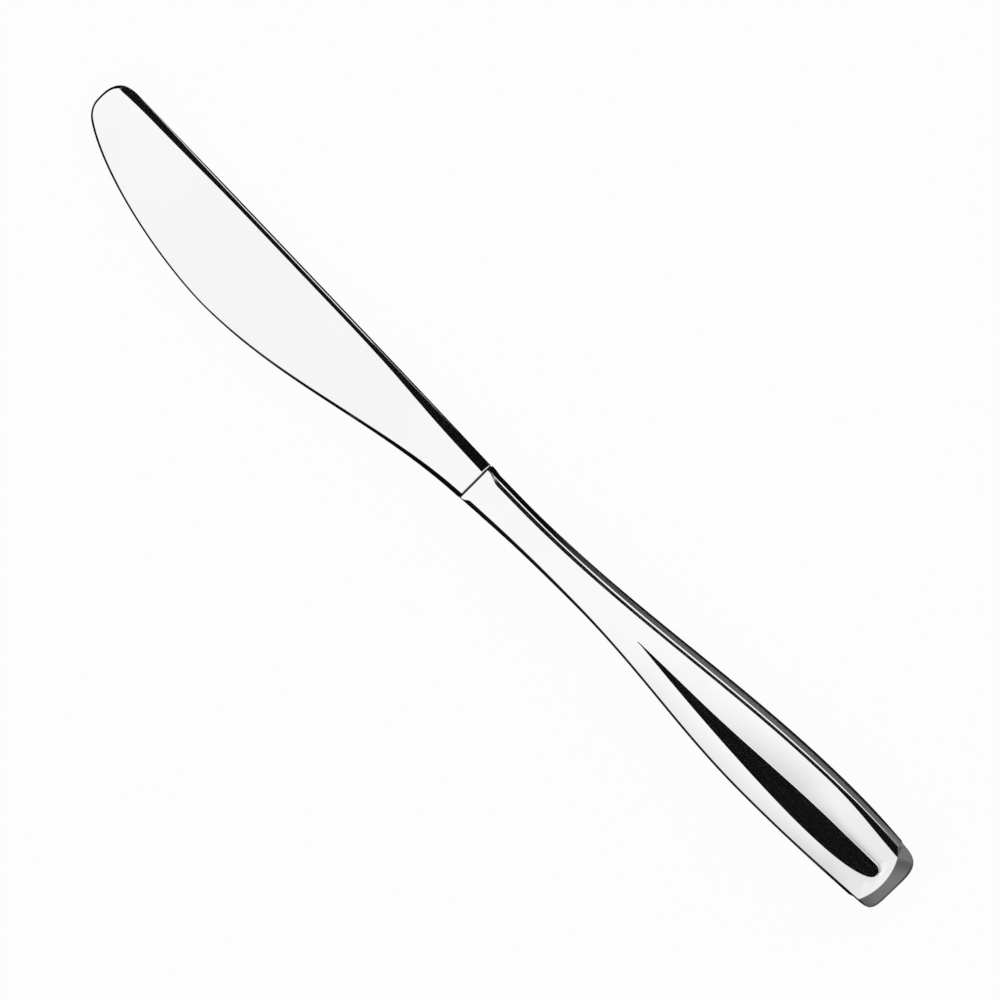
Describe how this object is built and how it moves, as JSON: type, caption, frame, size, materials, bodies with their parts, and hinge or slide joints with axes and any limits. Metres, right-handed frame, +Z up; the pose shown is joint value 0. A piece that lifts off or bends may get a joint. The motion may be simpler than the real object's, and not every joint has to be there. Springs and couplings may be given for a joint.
{
  "type": "dessert knife",
  "caption": "Dessert knife with a broad round-bellied blade, a swelling bolster and a polished hollow handle with a long thumb hollow on each face.",
  "frame": {"origin": "on the table under the middle of the knife, laid flat with its front face up", "axes": "+X along the knife from the blade tip to the butt, +Y towards the spine, +Z up out of the front face"},
  "size_m": [0.21, 0.0224, 0.0071],
  "materials": {
    "blade_steel": "mirror polished stainless steel with very fine grinding lines across the blade",
    "handle_steel": "mirror polished stainless steel",
    "solder": "dull hard solder in a hairline joint",
    "resin": "cast filler inside the handle"
  },
  "bodies": {
    "root": {"blade": "blade_steel", "handle_front": "handle_steel", "handle_back": "handle_steel", "seam_solder": "solder", "joint_solder": "solder", "filler": "resin"}
  },
  "joints": []
}
